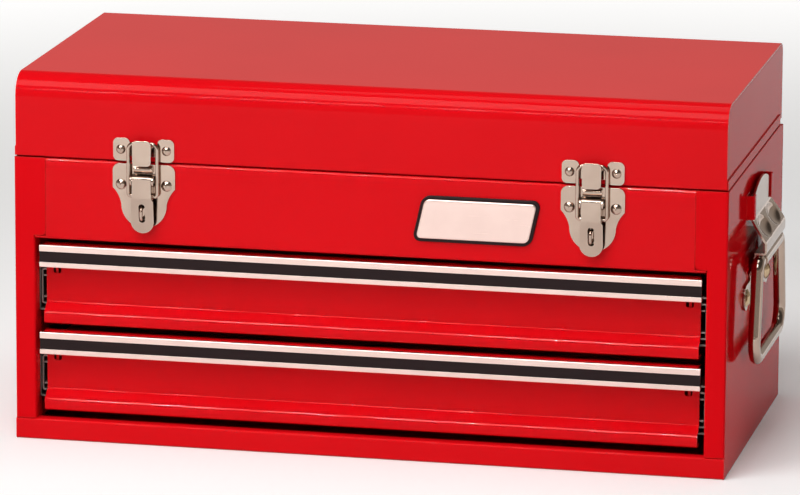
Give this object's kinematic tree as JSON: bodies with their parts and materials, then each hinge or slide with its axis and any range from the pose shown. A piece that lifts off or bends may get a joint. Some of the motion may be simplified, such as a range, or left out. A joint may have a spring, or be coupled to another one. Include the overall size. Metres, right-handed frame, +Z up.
{
  "type": "portable tool box with drawers",
  "caption": "Portable steel tool box with a hinged lid over a top compartment, wide drawers on ball slides, draw latches and drop side handles.",
  "frame": {"origin": "middle of the flat base", "axes": "+X to the right along the width, -Y the front, +Z up"},
  "size_m": [0.5376, 0.2628, 0.263],
  "materials": {
    "red_paint": "gloss",
    "nickel_plate": "satin nickel plate",
    "rivet_plate": "satin yellow passivated plate",
    "zinc_plate": "zinc plate",
    "pull_aluminium": "satin anodised",
    "black_strip": "satin"
  },
  "bodies": {
    "cabinet": {"left_side_panel": "red_paint", "right_side_panel": "red_paint", "back_panel": "red_paint", "bottom_pan": "red_paint", "front_panel": "red_paint", "compartment_floor": "red_paint", "left_slide_posts": "red_paint", "right_slide_posts": "red_paint", "upper_left_cabinet_rail": "zinc_plate", "upper_right_cabinet_rail": "zinc_plate", "lower_left_cabinet_rail": "zinc_plate", "lower_right_cabinet_rail": "zinc_plate", "hinge_cabinet_leaf": "zinc_plate", "hinge_pin": "zinc_plate", "left_latch_base": "nickel_plate", "right_latch_base": "nickel_plate", "left_latch_pin": "nickel_plate", "right_latch_pin": "nickel_plate", "left_latch_staple": "nickel_plate", "right_latch_staple": "nickel_plate", "latch_base_rivets": "nickel_plate", "left_handle_bracket": "nickel_plate", "right_handle_bracket": "nickel_plate", "handle_rivets": "rivet_plate"},
    "lid": {"lid_shell": "red_paint", "lid_left_end": "red_paint", "lid_right_end": "red_paint", "hinge_lid_leaf": "zinc_plate", "left_latch_catch": "nickel_plate", "right_latch_catch": "nickel_plate", "latch_catch_rivets": "nickel_plate"},
    "left_lever": {"left_latch_lever": "nickel_plate"},
    "left_loop": {"left_latch_loop": "nickel_plate"},
    "left_bail": {"left_handle_bail": "nickel_plate"},
    "right_lever": {"right_latch_lever": "nickel_plate"},
    "right_loop": {"right_latch_loop": "nickel_plate"},
    "right_bail": {"right_handle_bail": "nickel_plate"},
    "upper_drawer": {"upper_drawer_tub": "red_paint", "upper_drawer_front": "red_paint", "upper_pull_rail": "pull_aluminium", "upper_pull_insert": "black_strip", "upper_left_drawer_rail": "zinc_plate", "upper_right_drawer_rail": "zinc_plate"},
    "upper_left_middle": {"upper_left_middle_rail": "zinc_plate"},
    "upper_right_middle": {"upper_right_middle_rail": "zinc_plate"},
    "lower_drawer": {"lower_drawer_tub": "red_paint", "lower_drawer_front": "red_paint", "lower_pull_rail": "pull_aluminium", "lower_pull_insert": "black_strip", "lower_left_drawer_rail": "zinc_plate", "lower_right_drawer_rail": "zinc_plate"},
    "lower_left_middle": {"lower_left_middle_rail": "zinc_plate"},
    "lower_right_middle": {"lower_right_middle_rail": "zinc_plate"}
  },
  "joints": [
    {"name": "lid_hinge", "type": "hinge", "parent": "cabinet", "child": "lid", "pos_m": [0, 0.12515, 0.2045], "axis": [-1, 0, 0], "range_deg": [0, 100]},
    {"name": "left_lever_pivot", "type": "hinge", "parent": "cabinet", "child": "left_lever", "pos_m": [-0.1596, -0.1302, 0.192], "axis": [-1, 0, 0], "range_deg": [0, 90]},
    {"name": "left_loop_pivot", "type": "hinge", "parent": "left_lever", "child": "left_loop", "pos_m": [-0.1596, -0.129, 0.181], "axis": [-1, 0, 0], "range_deg": [-67.5, 0]},
    {"name": "right_lever_pivot", "type": "hinge", "parent": "cabinet", "child": "right_lever", "pos_m": [0.1596, -0.1302, 0.192], "axis": [-1, 0, 0], "range_deg": [0, 90]},
    {"name": "right_loop_pivot", "type": "hinge", "parent": "right_lever", "child": "right_loop", "pos_m": [0.1596, -0.129, 0.181], "axis": [-1, 0, 0], "range_deg": [-67.5, 0]},
    {"name": "left_bail_swing", "type": "hinge", "parent": "cabinet", "child": "left_bail", "pos_m": [-0.2635, 0, 0.137], "axis": [0, 1, 0], "range_deg": [0, 90]},
    {"name": "right_bail_swing", "type": "hinge", "parent": "cabinet", "child": "right_bail", "pos_m": [0.2635, 0, 0.137], "axis": [0, -1, 0], "range_deg": [0, 90]},
    {"name": "upper_drawer_slide", "type": "slide", "parent": "cabinet", "child": "upper_drawer", "axis": [0, -1, 0], "range_m": [0, 0.2]},
    {"name": "upper_left_middle_slide", "type": "slide", "parent": "cabinet", "child": "upper_left_middle", "axis": [0, -1, 0], "range_m": [0, 0.1]},
    {"name": "upper_right_middle_slide", "type": "slide", "parent": "cabinet", "child": "upper_right_middle", "axis": [0, -1, 0], "range_m": [0, 0.1]},
    {"name": "lower_drawer_slide", "type": "slide", "parent": "cabinet", "child": "lower_drawer", "axis": [0, -1, 0], "range_m": [0, 0.2]},
    {"name": "lower_left_middle_slide", "type": "slide", "parent": "cabinet", "child": "lower_left_middle", "axis": [0, -1, 0], "range_m": [0, 0.1]},
    {"name": "lower_right_middle_slide", "type": "slide", "parent": "cabinet", "child": "lower_right_middle", "axis": [0, -1, 0], "range_m": [0, 0.1]}
  ],
  "couplings": [
    {"joint": "left_loop_pivot", "follows": "left_lever_pivot", "ratio": -0.75},
    {"joint": "right_loop_pivot", "follows": "right_lever_pivot", "ratio": -0.75},
    {"joint": "upper_left_middle_slide", "follows": "upper_drawer_slide", "ratio": 0.5},
    {"joint": "upper_right_middle_slide", "follows": "upper_drawer_slide", "ratio": 0.5},
    {"joint": "lower_left_middle_slide", "follows": "lower_drawer_slide", "ratio": 0.5},
    {"joint": "lower_right_middle_slide", "follows": "lower_drawer_slide", "ratio": 0.5}
  ]
}
